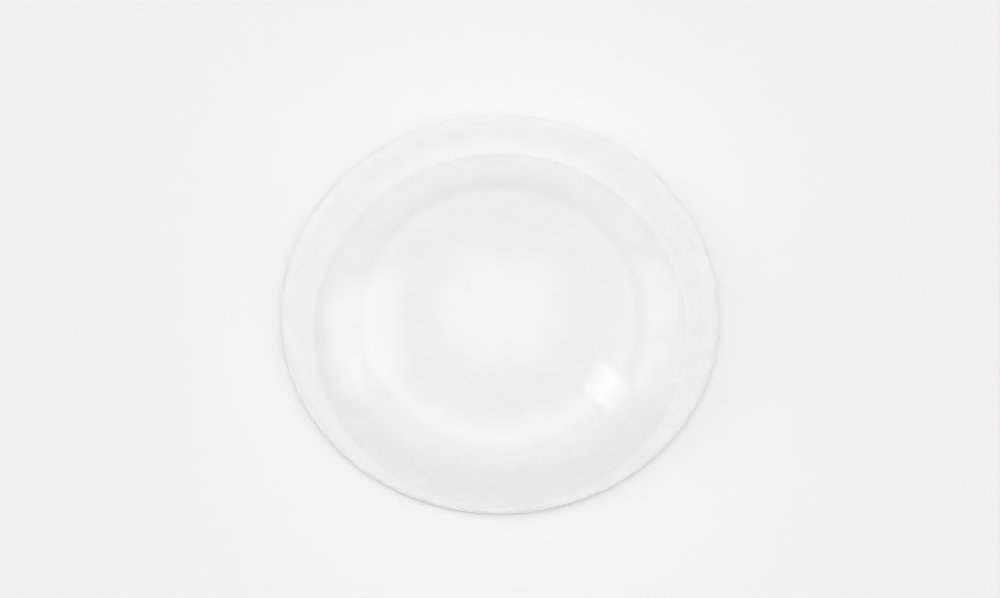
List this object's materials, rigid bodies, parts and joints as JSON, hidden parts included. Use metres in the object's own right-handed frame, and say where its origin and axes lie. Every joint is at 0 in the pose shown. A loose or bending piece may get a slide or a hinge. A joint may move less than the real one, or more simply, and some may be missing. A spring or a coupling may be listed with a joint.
{
  "type": "cabinet door bumper",
  "caption": "Low clear dome of soft plastic on a round self-adhesive pad, stuck inside a cabinet door or drawer front to cushion and quieten its closing.",
  "frame": {"origin": "centre of the adhesive pad's lower face, where the bumper sticks to the door", "axes": "+Z out of the door, from the adhesive face to the crown of the dome; X and Y lie in the adhesive face, and the part is round about Z"},
  "size_m": [0.01, 0.01, 0.003],
  "materials": {
    "clear_polyurethane": "clear moulded polyurethane elastomer, glossy, with a faint grey-green depth at the rim",
    "clear_adhesive": "clear pressure-sensitive adhesive, very slightly hazy"
  },
  "bodies": {
    "root": {"bumper_dome": "clear_polyurethane", "adhesive_pad": "clear_adhesive"}
  },
  "joints": []
}
